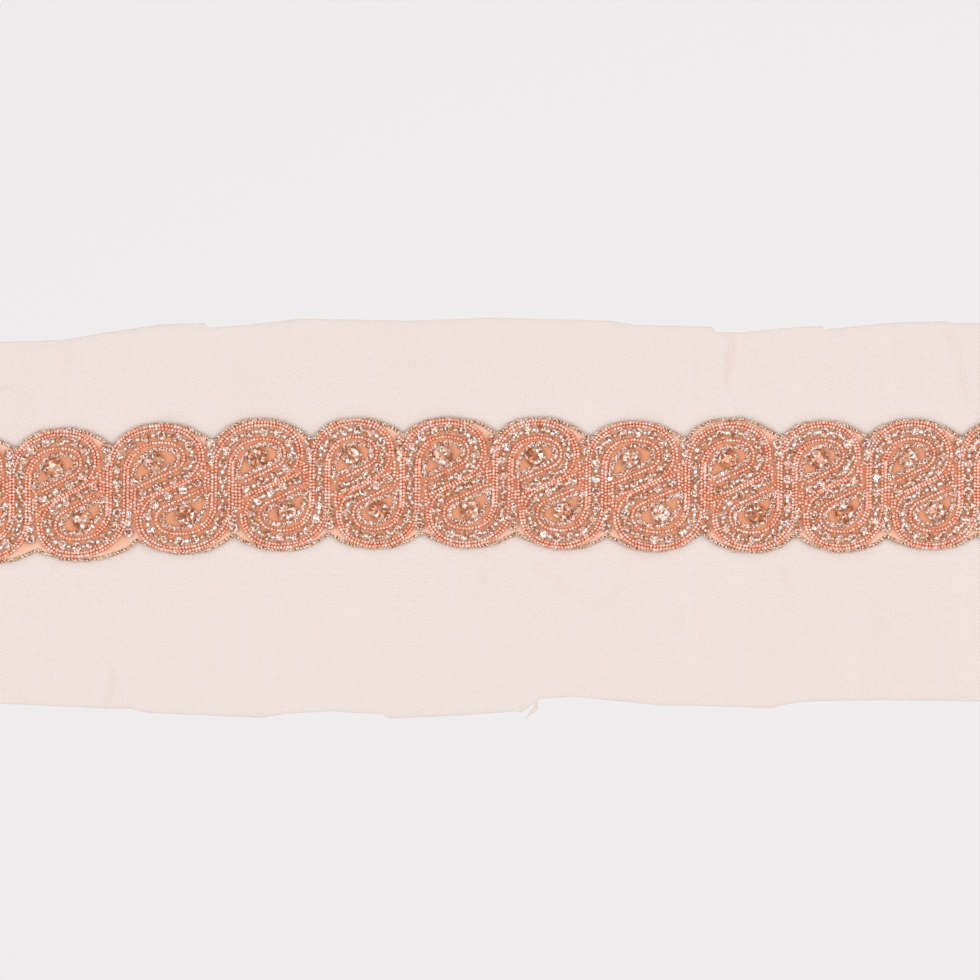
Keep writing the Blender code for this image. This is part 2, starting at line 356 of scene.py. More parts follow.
# Where the pattern lies
def smooth_between(rows, t):
    """The point of a Catmull-Rom curve through rows at t, which counts rows."""
    last = len(rows) - 1
    i = max(0, min(last - 1, math.floor(t)))
    f = t - i
    p = [Vector(rows[max(0, min(last, j))]) for j in range(i - 1, i + 3)]
    if i == 0:
        p[0] = 2 * p[1] - p[2]
    if i == last - 1:
        p[3] = 2 * p[2] - p[1]
    if not 0 <= f <= 1:
        return p[1] + (p[2] - p[1]) * f
    return 0.5 * (
        2 * p[1]
        + (p[2] - p[0]) * f
        + (2 * p[0] - 5 * p[1] + 4 * p[2] - p[3]) * f * f
        + (3 * p[1] - p[0] - 3 * p[2] + p[3]) * f ** 3
    )


def lay(along, across):
    """Carries a point of the even strip to its place on the band."""
    place = smooth_between(COLUMNS, along / PITCH)
    return Vector((place.x, place.y + across))


def scalloped_edge(side):
    """Points along one scalloped edge: an arch over each motif, from notch to notch."""
    notches = [Vector(row[2 * side : 2 * side + 2]) for row in NOTCHES]
    points = []
    for start, end, crown in zip(notches, notches[1:], CROWNS):
        middle, half = (start + end) / 2, (end - start) / 2
        rise = crown[side] - middle.y
        for i in range(STEPS_PER_SCALLOP):
            share = 2 * i / STEPS_PER_SCALLOP - 1
            power = FULLNESS[side][share > 0]
            arch = rise * (1 - abs(share) ** power)
            points.append(middle + share * half + Vector((0.0, arch)))
    return points + [notches[-1]]


def hook_point(distance):
    """Place and direction on the upper hook, distance along it from the column's middle."""
    place, heading = Vector((0.0, 0.0)), math.pi / 2
    for length, turn in HOOK:
        run = min(distance, length)
        bend = math.radians(turn) * run / length
        if turn:
            radius = length / math.radians(turn)
            side = Vector((math.sin(heading), -math.cos(heading)))
            turned = Vector((math.sin(heading - bend), -math.cos(heading - bend)))
            place = place + radius * (side - turned)
        else:
            place = place + run * Vector((math.cos(heading), math.sin(heading)))
        heading -= bend
        distance -= run
        if distance <= 0:
            break
    return place, Vector((math.cos(heading), math.sin(heading)))


def scroll_point(distance, offset):
    """A point offset to the left of the scroll's middle line. The lower hook, at negative
    distances, is the upper one given a half turn about the column's middle."""
    if distance < 0:
        return -scroll_point(-distance, -offset)
    place, ahead = hook_point(distance)
    return place + offset * Vector((-ahead.y, ahead.x))


def on_band(column, turned, local):
    """A point beside a column, carried to the band. Turned is 1, or -1 for a half turn."""
    return lay(column * PITCH + turned * local.x, turned * local.y)


def on_line(stops, at):
    """The value at a place on the line through stops, each a place and a value."""
    i = bisect.bisect_right([stop[0] for stop in stops], at)
    i = max(1, min(len(stops) - 1, i))
    (a0, v0), (a1, v1) = stops[i - 1], stops[i]
    return v0 + (v1 - v0) * (at - a0) / (a1 - a0)


def spaced(points, pitch, closed=False):
    """Places and directions at even steps, near to pitch, along a line of points."""
    points = np.array(points, float)
    if closed:
        points = np.vstack([points, points[:1]])
    lengths = np.linalg.norm(np.diff(points, axis=0), axis=1)
    reach = np.concatenate([[0.0], np.cumsum(lengths)])
    count = max(2, round(reach[-1] / pitch))
    at = np.arange(count) * reach[-1] / count if closed else np.linspace(0, reach[-1], count + 1)
    xy = np.column_stack([np.interp(at, reach, points[:, k]) for k in (0, 1)])
    ahead = np.column_stack([np.interp(at + NEAR, reach, points[:, k]) for k in (0, 1)])
    behind = np.column_stack([np.interp(at - NEAR, reach, points[:, k]) for k in (0, 1)])
    way = ahead - behind
    return xy, way / np.linalg.norm(way, axis=1)[:, None]


# Nodes
class Graph:
    """One node tree, and the one way of adding a node to it."""

    def __init__(self, tree):
        self.tree = tree

    def add(self, kind, settings=None, inputs=None, output=0):
        """A node of this kind: first its settings, then its sockets, by name or number."""
        node = self.tree.nodes.new(kind)
        for name, value in (settings or {}).items():
            if name == "stops":
                while len(node.color_ramp.elements) < len(value):
                    node.color_ramp.elements.new(0.5)
                for element, (position, colour) in zip(node.color_ramp.elements, value):
                    element.position = position
                    element.color = (*colour, 1.0)
            else:
                setattr(node, name, value)
        for name, value in (inputs or {}).items():
            if isinstance(value, Wire):
                self.tree.links.new(value.socket, node.inputs[name])
            else:
                node.inputs[name].default_value = value
        return Wire(self, node.outputs[output])


class Wire:
    """A socket, on which Python's operators add Math nodes."""

    def __init__(self, graph, socket):
        self.graph, self.socket = graph, socket

    def other(self, name):
        """Another output of the same node."""
        return Wire(self.graph, self.socket.node.outputs[name])

    def math(self, operation, *values):
        inputs = dict(enumerate((self, *values)))
        return self.graph.add("ShaderNodeMath", {"operation": operation}, inputs)

    def __add__(self, value):
        return self.math("ADD", value)

    def __sub__(self, value):
        return self.math("SUBTRACT", value)

    def __mul__(self, value):
        return self.math("MULTIPLY", value)

    def __rsub__(self, value):
        return (self * -1.0) + value

    __radd__ = __add__
    __rmul__ = __mul__


def srgb(red, green, blue):
    """A colour given from 0 to 255, as the shader's linear one."""
    def linear(c):
        c /= 255
        return c / 12.92 if c <= 0.04045 else ((c + 0.055) / 1.055) ** 2.4

    return tuple(linear(c) for c in (red, green, blue))


def blank_material(name):
    """A new material, its graph and its shader, with links still to make."""
    made = bpy.data.materials.new(name)
    made.use_nodes = True
    graph = Graph(made.node_tree)
    return made, graph, made.node_tree.nodes["Principled BSDF"]


def plug(shader, graph, **inputs):
    """Sets or links the shader's own sockets, named with _ for a space."""
    for name, value in inputs.items():
        socket = shader.inputs[name.replace("_", " ")]
        if isinstance(value, Wire):
            graph.tree.links.new(value.socket, socket)
        elif isinstance(value, tuple):
            socket.default_value = (*value, 1.0)
        else:
            socket.default_value = value


def noise(graph, scale, detail=2.0, vector=None):
    where = vector or graph.add("ShaderNodeTexCoord", output="Object")
    inputs = {"Vector": where, "Scale": scale, "Detail": detail}
    return graph.add("ShaderNodeTexNoise", None, inputs)


def mixed(graph, factor, first, second):
    """A colour between two, each a wire or a linear colour."""
    inputs = {0: factor}
    for number, colour in ((6, first), (7, second)):
        inputs[number] = colour if isinstance(colour, Wire) else (*colour, 1.0)
    return graph.add("ShaderNodeMix", {"data_type": "RGBA"}, inputs, 2)


def ramp(graph, factor, stops):
    return graph.add("ShaderNodeValToRGB", {"stops": stops}, {"Fac": factor})


def attribute(graph, name):
    return graph.add("ShaderNodeAttribute", {"attribute_name": name}, output="Fac")


def bump(graph, height, strength, distance):
    inputs = {"Height": height, "Strength": strength, "Distance": distance}
    return graph.add("ShaderNodeBump", None, inputs)


def net_material():
    """Sheer net: peach threads round hexagonal holes, which are the peaks of three waves.
    It looks denser and warmer along a crease."""
    made, graph, shader = blank_material("sheer_net")
    pale, warm = srgb(253, 233, 221), srgb(250, 208, 182)
    where = graph.add("ShaderNodeTexCoord", output="Object")
    turns = 4 * math.pi / math.sqrt(3) / (NET_MESH * MM)
    place = graph.add("ShaderNodeSeparateXYZ", None, {"Vector": where}, "X")
    across, up = place * turns, place.other("Y") * turns
    holes = up.math("COSINE")
    for side in (1, -1):
        holes = holes + (across * (side * math.sqrt(0.75)) + up * 0.5).math("COSINE")
    thread = graph.add(
        "ShaderNodeMapRange",
        None,
        {"Value": holes, "From Min": -1.5, "From Max": 2.0, "To Min": 1.0, "To Max": 0.0},
    )
    stretched = graph.add("ShaderNodeMapping", None, {"Vector": where, "Scale": BLOTCH_SCALE})
    blotch = noise(graph, 1.0, 3.0, stretched)
    # The denser look of creases, together with the painted glow next to the band
    fold = attribute(graph, "fold")
    dense = fold * CREASE_DENSITY + (blotch - 0.5) * BLOTCH_DENSITY
    plug(
        shader,
        graph,
        Base_Color=mixed(graph, dense * 3.0 + 0.3, pale, warm),
        Alpha=thread * THREAD_DENSITY + HOLE_DENSITY + dense,
        Roughness=0.8,
    )
    return made


def cloth_material():
    """Fine tan ground cloth, paler where it thins out towards its edge."""
    made, graph, shader = blank_material("tan_ground_cloth")
    where = graph.add("ShaderNodeTexCoord", output="Object")
    waves = []
    for direction in ("X", "Y"):
        settings = {"bands_direction": direction}
        inputs = {"Vector": where, "Scale": 420.0, "Distortion": 0.6}
        waves.append(graph.add("ShaderNodeTexWave", settings, inputs, 1))
    weave = waves[0] * waves[1]
    blotch = noise(graph, 160.0, 3.0, where)
    tan = mixed(graph, blotch, srgb(230, 160, 122), srgb(212, 142, 106))
    edge = attribute(graph, "edge")
    colour = mixed(graph, edge * 0.9, tan, srgb(242, 208, 190))
    plug(
        shader,
        graph,
        Base_Color=colour,
        Roughness=0.7,
        Normal=bump(graph, weave, 0.5, 0.0002),
    )
    return made


def seed_material():
    """Lustred coral glass, a little different from bead to bead."""
    made, graph, shader = blank_material("coral_seed_glass")
    tone = attribute(graph, "tone")
    colour = ramp(
        graph,
        tone,
        [
            (0.0, srgb(240, 138, 100)),
            (0.45, srgb(246, 166, 132)),
            (0.8, srgb(248, 196, 170)),
            (1.0, srgb(250, 212, 206)),
        ],
    )
    plug(
        shader,
        graph,
        Base_Color=colour,
        Roughness=0.35,
        Coat_Weight=1.0,
        Coat_Roughness=0.1,
        Coat_IOR=2.4,
    )
    return made


def stone_material():
    """Smoky peach crystal over foil, with painted reflections: each facet is painted at random from
    dark brown to white, standing in for the light and dark it flashes, and the table faces are
    painted darker.
    """
    made, graph, shader = blank_material("smoky_peach_crystal")
    # Painted reflections: a random value for each face, lowered on the table faces, picks its
    # painted colour from dark brown through peach to white glints
    facet = attribute(graph, "facet") - attribute(graph, "heart") * 0.25
    colour = ramp(
        graph,
        facet,
        [
            (0.0, srgb(134, 68, 36)),
            (0.42, srgb(196, 118, 72)),
            (0.6, srgb(232, 164, 122)),
            (0.67, srgb(250, 228, 214)),
            (0.71, srgb(255, 255, 255)),
        ],
    )
    plug(
        shader,
        graph,
        Base_Color=colour,
        Roughness=0.12,
        Metallic=0.08,
        Coat_Weight=1.0,
        Coat_Roughness=0.02,
    )
    return made


def eye_stone_material():
    """Rose peach crystal over foil, with painted reflections: each facet is painted at random from
    dark brown to white, the table faces darker, and some stones paler with more white facets.
    """
    made, graph, shader = blank_material("rose_peach_crystal")
    # Painted reflections: each face's random value, lowered on the table faces, picks a painted
    # dark or light colour; a stone's own random tone shifts it to the paler set
    facet, tone = attribute(graph, "facet"), attribute(graph, "tone")
    facet = facet - attribute(graph, "heart") * 0.2
    warm = ramp(
        graph,
        facet,
        [
            (0.0, srgb(122, 60, 28)),
            (0.4, srgb(188, 104, 54)),
            (0.7, srgb(228, 142, 90)),
            (0.82, srgb(250, 208, 180)),
            (0.88, srgb(255, 252, 250)),
        ],
    )
    pale = ramp(
        graph,
        facet,
        [
            (0.0, srgb(150, 90, 58)),
            (0.4, srgb(216, 154, 118)),
            (0.66, srgb(244, 210, 192)),
            (0.8, srgb(255, 252, 250)),
        ],
    )
    plug(
        shader,
        graph,
        Base_Color=mixed(graph, tone * tone * tone, warm, pale),
        Roughness=0.1,
        Metallic=0.08,
        Coat_Weight=1.0,
        Coat_Roughness=0.02,
    )
    return made


def silver_material():
    """Bright silver settings, dulled in places."""
    made, graph, shader = blank_material("silver_setting")
    dull = noise(graph, 900.0)
    plug(
        shader,
        graph,
        Base_Color=mixed(graph, dull, srgb(255, 250, 244), srgb(232, 200, 174)),
        Roughness=dull * 0.3 + 0.25,
        Metallic=1.0,
    )
    return made


def spacer_material():
    """Lined glass spacer beads, from peach to nearly white."""
    made, graph, shader = blank_material("grey_spacer_glass")
    colour = ramp(
        graph,
        attribute(graph, "tone"),
        [
            (0.0, srgb(214, 164, 132)),
            (0.6, srgb(236, 206, 184)),
            (1.0, srgb(255, 252, 248)),
        ],
    )
    plug(
        shader,
        graph,
        Base_Color=colour,
        Roughness=0.12,
        Metallic=0.4,
        Coat_Weight=1.0,
        Coat_Roughness=0.03,
    )
    return made


def braid_material():
    """Twisted lame thread: pale gold, with painted shade, browner in the hollows of its bump, and
    painted glints, near white, on its raised spots.
    """
    made, graph, shader = blank_material("pale_gold_braid")
    # Painted shade and painted glints: one noise raises the bump and picks brown in its hollows and
    # near white on its crests
    glint = noise(graph, 1400.0, 2.0)
    colour = ramp(
        graph,
        glint,
        [(0.4, srgb(178, 112, 70)), (0.5, srgb(230, 178, 136)), (0.57, srgb(255, 250, 240))],
    )
    plug(
        shader,
        graph,
        Base_Color=colour,
        Roughness=0.28,
        Metallic=0.45,
        Coat_Weight=1.0,
        Coat_Roughness=0.1,
        Normal=bump(graph, glint, 0.8, 0.0001),
    )
    return made


# Meshes
def mesh_object(name, points, faces, smooth=True, hearts=None):
    """An object from points in millimetres, with its faces turned outwards."""
    mesh = bpy.data.meshes.new(name)
    mesh.from_pydata([tuple(c * MM for c in p) for p in points], [], faces)
    work = bmesh.new()
    work.from_mesh(mesh)
    bmesh.ops.recalc_face_normals(work, faces=work.faces)
    work.to_mesh(mesh)
    work.free()
    if smooth:
        mesh.shade_smooth()
    else:
        mesh.shade_flat()
    if hearts:
        marked = mesh.attributes.new("heart", "FLOAT", "FACE")
        marked.data.foreach_set("value", hearts)
    made = bpy.data.objects.new(name, mesh)
    bpy.context.scene.collection.objects.link(made)
    return made


def lathe(profile, sides):
    """Points and faces of a profile of radii and heights turned about Z, closed by caps."""
    points = [
        (
            radius * math.cos(2 * math.pi * i / sides),
            radius * math.sin(2 * math.pi * i / sides),
            height,
        )
        for radius, height in profile
        for i in range(sides)
    ]
    faces = [tuple(range(sides)), tuple(range(len(points) - sides, len(points)))]
    for k in range(len(profile) - 1):
        for i in range(sides):
            j = (i + 1) % sides
            faces.append((k * sides + i, k * sides + j, (k + 1) * sides + j, (k + 1) * sides + i))
    return points, faces


def joined(*parts):
    """The points and faces of several solids as one."""
    points, faces = [], []
    for part_points, part_faces in parts:
        faces += [tuple(len(points) + v for v in face) for face in part_faces]
        points += part_points
    return points, faces


def bead_shape(name, width, length):
    """A barrel-shaped bead lying along X."""
    profile = [(0.2, -0.5), (0.42, -0.34), (0.5, 0.0), (0.42, 0.34), (0.2, 0.5)]
    points, faces = lathe([(r * width, h * length) for r, h in profile], SEED_SIDES)
    return mesh_object(name, [(z, x, y) for x, y, z in points], faces)


def brilliant(radius, girdle, top, sides, table_share=0.52):
    """A faceted stone's crown and its closed underside, with two rings of crown facets, and
    for each face whether it belongs to the stone's heart, its table."""
    middle = (girdle + top) / 2 + (top - girdle) * 0.12
    rings = [
        # radius, height, turn by part of a side
        (radius * 0.6, girdle - (top - girdle) * 0.5, 0.0),
        (radius, girdle, 0.0),
        (radius * 0.8, middle, 0.5),
        (radius * table_share, top, 0.0),
    ]
    points = []
    for ring_radius, height, turn in rings:
        for i in range(sides):
            angle = 2 * math.pi * (i + turn) / sides
            points.append((ring_radius * math.cos(angle), ring_radius * math.sin(angle), height))
    faces = [tuple(range(sides))]
    for i in range(sides):
        j = (i + 1) % sides
        faces.append((i, j, sides + j, sides + i))
        faces.append((sides + i, sides + j, 2 * sides + i))
        faces.append((sides + j, 2 * sides + j, 2 * sides + i))
        faces.append((2 * sides + i, 3 * sides + j, 3 * sides + i))
        faces.append((2 * sides + i, 2 * sides + j, 3 * sides + j))
    centre = len(points)
    points.append((0.0, 0.0, top))
    for i in range(sides):
        faces.append((3 * sides + i, 3 * sides + (i + 1) % sides, centre))
    # The table faces, which the crystal materials paint darker
    hearts = [0.0] * (len(faces) - sides) + [1.0] * sides
    return points, faces, False, hearts


def claw(angle, radius, width, low, high, lean):
    """One claw of a setting, bent in over the stone's edge."""
    sections = [
        # distance out, height, width
        (radius, low, width),
        (radius, high * 0.75, width),
        (radius - lean, high, width * 0.6),
    ]
    points = []
    for out, height, wide in sections:
        for across in (-wide / 2, wide / 2):
            for depth in (0.0, -width * 0.5):
                x, y = out + depth, across
                points.append(
                    (
                        x * math.cos(angle) - y * math.sin(angle),
                        x * math.sin(angle) + y * math.cos(angle),
                        height,
                    )
                )
    faces = []
    for k in (0, 4):
        for a, b in ((0, 1), (1, 3), (3, 2), (2, 0)):
            faces.append((k + a, k + b, k + 4 + b, k + 4 + a))
    faces += [(0, 1, 3, 2), (8, 9, 11, 10)]
    return points, faces


def setting(radius, height, claws, claw_width, top, sides=10):
    """A flared cup with claws."""
    wall = [
        # radius, height
        (radius * 0.55, 0.0),
        (radius * 0.75, height * 0.5),
        (radius * 0.97, height),
        (radius * 0.85, height),
        (radius * 0.7, height * 0.6),
    ]
    parts = [lathe(wall, sides)]
    for i in range(claws):
        angle = 2 * math.pi * (i + 0.5) / claws
        parts.append(claw(angle, radius * 1.08, claw_width, height * 0.3, top, radius * 0.28))
    return joined(*parts)


# Setting things on points
def scatter_tree():
    """Geometry nodes that set a piece on each point, along its way, a little uneven."""
    tree = bpy.data.node_groups.new("set_on_points", "GeometryNodeTree")
    tree.interface.new_socket("Points", in_out="INPUT", socket_type="NodeSocketGeometry")
    tree.interface.new_socket("Piece", in_out="INPUT", socket_type="NodeSocketObject")
    tree.interface.new_socket("Finish", in_out="INPUT", socket_type="NodeSocketMaterial")
    tree.interface.new_socket("Tilt", in_out="INPUT", socket_type="NodeSocketVector")
    tree.interface.new_socket("Size spread", in_out="INPUT", socket_type="NodeSocketFloat")
    tree.interface.new_socket("Seed", in_out="INPUT", socket_type="NodeSocketInt")
    tree.interface.new_socket("Pieces", in_out="OUTPUT", socket_type="NodeSocketGeometry")
    graph = Graph(tree)
    given = graph.add("NodeGroupInput")
    seed = given.other("Seed")

    def named(name, kind):
        settings = {"data_type": kind}
        return graph.add("GeometryNodeInputNamedAttribute", settings, {"Name": name})

    def drawn(more):
        settings = {"data_type": "FLOAT"}
        inputs = {2: 0.0, 3: 1.0, "Seed": seed + more}
        return graph.add("FunctionNodeRandomValue", settings, inputs, 1)

    facing = graph.add(
        "FunctionNodeAlignRotationToVector",
        {"axis": "X", "pivot_axis": "Z"},
        {"Vector": named("way", "FLOAT_VECTOR")},
    )
    tilts = [drawn(1.0 + k) - 0.5 for k in range(3)]
    spread = graph.add("ShaderNodeCombineXYZ", None, dict(enumerate(tilts)))
    scaled = graph.add(
        "ShaderNodeVectorMath",
        {"operation": "MULTIPLY"},
        {0: spread, 1: given.other("Tilt")},
    )
    tilt = graph.add("FunctionNodeEulerToRotation", None, {0: scaled})
    turned = graph.add(
        "FunctionNodeRotateRotation",
        {"rotation_space": "LOCAL"},
        {"Rotation": facing, "Rotate By": tilt},
    )
    uneven = (drawn(5.0) - 0.5) * given.other("Size spread") + 1.0
    piece = graph.add("GeometryNodeObjectInfo", None, {"Object": given.other("Piece")}, "Geometry")
    placed = graph.add(
        "GeometryNodeInstanceOnPoints",
        None,
        {
            "Points": given.other("Points"),
            "Instance": piece,
            "Rotation": turned,
            "Scale": named("size", "FLOAT") * uneven,
        },
    )
    toned = graph.add(
        "GeometryNodeStoreNamedAttribute",
        {"data_type": "FLOAT", "domain": "INSTANCE"},
        {"Geometry": placed, "Name": "tone", "Value": drawn(6.0)},
    )
    real = graph.add("GeometryNodeRealizeInstances", None, {"Geometry": toned})
    # A random value on each face, which the crystal materials turn into painted reflections, light
    # or dark
    faceted = graph.add(
        "GeometryNodeStoreNamedAttribute",
        {"data_type": "FLOAT", "domain": "FACE"},
        {"Geometry": real, "Name": "facet", "Value": drawn(7.0)},
    )
    dressed = graph.add(
        "GeometryNodeSetMaterial",
        None,
        {"Geometry": faceted, "Material": given.other("Finish")},
    )
    out = tree.nodes.new("NodeGroupOutput")
    tree.links.new(dressed.socket, out.inputs[0])
    return tree


def set_on_points(name, items, level, shape, finish, tilt, spread, seed):
    """One mesh of a shape set on every item, each a place, a way and a size."""
    mesh = bpy.data.meshes.new(name + "_points")
    mesh.from_pydata([(x * MM, y * MM, level * MM) for (x, y), way, size in items], [], [])
    ways = mesh.attributes.new("way", "FLOAT_VECTOR", "POINT")
    ways.data.foreach_set("vector", [c for xy, way, size in items for c in (way[0], way[1], 0.0)])
    sizes = mesh.attributes.new("size", "FLOAT", "POINT")
    sizes.data.foreach_set("value", [size for xy, way, size in items])
    carrier = bpy.data.objects.new(name, mesh)
    bpy.context.scene.collection.objects.link(carrier)
    modifier = carrier.modifiers.new("set_on_points", "NODES")
    modifier.node_group = SCATTER
    given = {"Piece": shape, "Finish": finish, "Tilt": tilt, "Size spread": spread, "Seed": seed}
    for item in SCATTER.interface.items_tree:
        if item.name in given:
            modifier[item.identifier] = given[item.name]
    graph = bpy.context.evaluated_depsgraph_get()
    made = bpy.data.meshes.new_from_object(carrier.evaluated_get(graph))
    carrier.modifiers.remove(modifier)
    carrier.data = made
    made.name = name
    return carrier


def finished(obj, slot, *nodes):
    """Puts a piece on the part's body, in place of the solids named, which it hides. Its slot is
    not used.
    """
    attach(obj, "root")
    if nodes:
        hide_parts(*nodes)


# The net
def creases_at(x, y):
    """How far the net is lifted off the surface and how much denser it looks, place by place, with
    a painted glow of the band's colour next to its edges.
    """
    middle = np.interp(x, [c[0] for c in COLUMNS], [c[1] for c in COLUMNS])
    clear = np.clip((np.abs(y - middle) - FLAT_HALF) / CREASE_RISE, 0, 1)
    lift = sum(RIPPLE * np.sin(x / across + y / up + start) for across, up, start in RIPPLES)
    lift = lift + RIPPLE
    fold = np.zeros_like(x)
    for x0, y0, x1, y1, height, half, dense in CREASES + FAINT_CREASES:
        run = np.array((x1 - x0, y1 - y0))
        share = ((x - x0) * run[0] + (y - y0) * run[1]) / (run @ run)
        kept = np.clip(share, 0, 1)
        sway = SWAY * np.sin(kept * SWAY_TURN + x0)
        away = np.hypot(x - x0 - kept * run[0] - sway, y - y0 - kept * run[1])
        fade = np.exp(-(((share - 0.5) / CREASE_FADE) ** 4))
        lift = lift + SOFTER * height * fade * np.exp(-((away / (half * WIDER)) ** 2))
        spread = half * DENSE_WIDER
        fold = fold + dense / FULL_DENSITY * fade * np.exp(-((away / spread) ** 2))
    fold = fold * clear
    # Painted glow: next to each scalloped edge the net is made denser and warmer, as if the band's
    # colour bounced onto it
    for side in (UPPER, LOWER):
        edge = scalloped_edge(side)
        level = np.interp(x, [p.x for p in edge], [p.y for p in edge])
        fold = fold + BAND_GLOW * np.exp(-(((y - level) / BAND_GLOW_REACH) ** 2))
    return np.maximum(lift, 0) * clear, np.minimum(fold, 1)


def net_sheet():
    first, last = UPPER_EDGE[0][0], UPPER_EDGE[-1][0]
    xs = set(np.round(np.arange(first, last, NET_STEP), 3))
    xs |= {x for x, y in UPPER_EDGE + LOWER_EDGE}
    xs = sorted(xs)
    rows = round((UPPER_EDGE[0][1] - LOWER_EDGE[0][1]) / NET_STEP)
    upper = np.interp(xs, [p[0] for p in UPPER_EDGE], [p[1] for p in UPPER_EDGE])
    lower = np.interp(xs, [p[0] for p in LOWER_EDGE], [p[1] for p in LOWER_EDGE])
    share = np.linspace(0, 1, rows + 1)
    x = np.repeat(np.array(xs)[:, None], rows + 1, axis=1)
    y = lower[:, None] + (upper - lower)[:, None] * share[None, :]
    lift, creased_and_glow = creases_at(x, y)
    points = np.column_stack([x.ravel(), y.ravel(), (lift + NET_LEVEL).ravel()])
    across = rows + 1
    faces = [
        (i * across + j, (i + 1) * across + j, (i + 1) * across + j + 1, i * across + j + 1)
        for i in range(len(xs) - 1)
        for j in range(rows)
    ]
    first_corner = len(points)
    points = points.tolist() + [(cx, cy, NET_LEVEL + SCRAP_RISE) for cx, cy in SCRAP]
    faces.append(tuple(range(first_corner, len(points))))
    net = mesh_object("net_sheet", points, faces)
    fold = net.data.attributes.new("fold", "FLOAT", "POINT")
    fold.data.foreach_set("value", creased_and_glow.ravel().tolist() + [SCRAP_FOLD] * len(SCRAP))
    solid = net.modifiers.new("thickness", "SOLIDIFY")
    solid.thickness = NET_THICK * MM
    solid.offset = 0.0
    net.data.materials.append(net_material())
    finished(net, "sheer_net", "net_ground")


# The ground cloth
def band_sheet():
    """The cloth between the scalloped edges, with how near its edge each point lies."""
    upper, lower = scalloped_edge(UPPER), scalloped_edge(LOWER)
    draw = random.Random(5)
    points, near = [], []
    for top, bottom in zip(upper, lower):
        width = (top - bottom).length
        rows = RIM_STEPS + list(np.linspace(MIDDLE_FROM, width - MIDDLE_FROM, MIDDLE_ROWS))
        rows += [width - step for step in reversed(RIM_STEPS)]
        for row in rows:
            place = bottom + (top - bottom) * row / width
            inside = min(row, width - row)
            to_end = min(place.x - upper[0].x, upper[-1].x - place.x)
            rim = max(0.0, 1 - inside / RIM_WIDTH, 1 - to_end / END_RIM)
            level = CLOTH_TOP - draw.uniform(0.0, UNEVEN) - RIM_DROP * rim * rim
            points.append((place.x, place.y, level))
            near.append(max(0.0, 1 - inside / PALE_REACH))
    across = len(rows) - 1
    faces = []
    for i in range(len(upper) - 1):
        for j in range(across):
            a, b = i * (across + 1) + j, (i + 1) * (across + 1) + j
            faces.append((a, b, b + 1, a + 1))
    cloth = mesh_object("band_sheet", points, faces)
    edge = cloth.data.attributes.new("edge", "FLOAT", "POINT")
    edge.data.foreach_set("value", near)
    solid = cloth.modifiers.new("thickness", "SOLIDIFY")
    solid.thickness = CLOTH_THICK * MM
    solid.offset = -1.0
    cloth.data.materials.append(cloth_material())
    finished(cloth, "ground_cloth", "band_cloth")


# Beads and stones, each set a little off its place by hand
HAND = random.Random(3)


def hooks():
    """Each hook's column, and 1 for an upper one or -1 for a lower one, half turned."""
    upper = [(column, 1) for column in range(MOTIFS)]
    return upper + [(column, -1) for column in range(1, MOTIFS + 1)]


def first_distance(column, turned):
    """How far a row may run past the column's middle: at a cut end its other hook is gone."""
    cut = column == 0 if turned > 0 else column == MOTIFS
    return -CUT_STEPS * HOOK_LENGTH / STONES_PER_HOOK / 2 if cut else -HOOK_LENGTH


def beside_hook(column, turned, stops):
    """Points on the band along a row beside a hook."""
    start = max(stops[0][0], first_distance(column, turned))
    count = max(2, round((stops[-1][0] - start) / ROW_STEP))
    points = []
    for i in range(count + 1):
        distance = start + (stops[-1][0] - start) * i / count
        local = scroll_point(distance, on_line(stops, distance))
        points.append(on_band(column, turned, local))
    return points


def row_items(points, pitch, closed=False):
    """Places, ways and sizes of beads or small stones along a line of points."""
    xy, way = spaced(points, pitch, closed)
    xy = xy + np.array([(HAND.uniform(-1, 1), HAND.uniform(-1, 1)) for p in xy]) * JITTER
    return [(tuple(p), tuple(w), 1.0) for p, w in zip(xy, way)]


def stone_items():
    """Rhinestones and spacers on the middle line of each hook, and stones in the notches."""
    half_step = HOOK_LENGTH / STONES_PER_HOOK / 2
    stones, spacers, notch = [], [], []
    for column, turned in hooks():
        first = 0 if turned > 0 else 1
        for step in range(first, 2 * STONES_PER_HOOK):
            distance = step * half_step
            here = on_band(column, turned, scroll_point(distance, 0.0))
            ahead = on_band(column, turned, scroll_point(distance + AIM, 0.0))
            item = (tuple(here), tuple((ahead - here).normalized()), 1.0)
            (stones if step % 2 else spacers).append(item)
        for x, y, size in NOTCH_STONES:
            if 0 < column < MOTIFS:
                place = on_band(column, turned, Vector((x, y)))
                notch.append((tuple(place), (1.0, 0.0), size))
    return stones, spacers, notch


def ring_items():
    """Small stones in a closed ring round each eye, clear of the column."""
    items = []
    for column, turned in hooks():
        points = []
        for i in range(RING_STEPS + 1):
            distance = RING_FROM + (HOOK_LENGTH - RING_FROM) * i / RING_STEPS
            hump = math.exp(-(((distance - RING_SHOULDER_AT) / RING_SHOULDER_HALF) ** 2))
            points.append(scroll_point(distance, -RING_OFFSET - RING_SHOULDER * hump))
        carried = [on_band(column, turned, p) for p in points if p.x > RING_CLEAR]
        items += row_items(carried, RING_PITCH, closed=True)
    return items


def fill_items(taken):
    """Beads in straight lines in the wedge beside each column, where there is room."""
    near = np.array([(x, y, r) for x, y, r in taken])
    items = []
    for column, turned in hooks():
        turned = -turned
        if column == (0 if turned < 0 else MOTIFS):
            continue
        for line in range(FILL_LINES):
            y = FILL_TOP - HAND.uniform(0, SEED_PITCH)
            while y > FILL_BOTTOM:
                x = FILL_FIRST + FILL_STEP * line + HAND.uniform(-JITTER, JITTER) * 2
                place = on_band(column, turned, Vector((x, y)))
                gap = np.hypot(near[:, 0] - place.x, near[:, 1] - place.y) - near[:, 2]
                if gap.min() > SEED_WIDTH * FILL_ROOM:
                    items.append((tuple(place), (0.0, 1.0), 1.0))
                y -= SEED_PITCH * HAND.uniform(*FILL_PITCH)
    return items


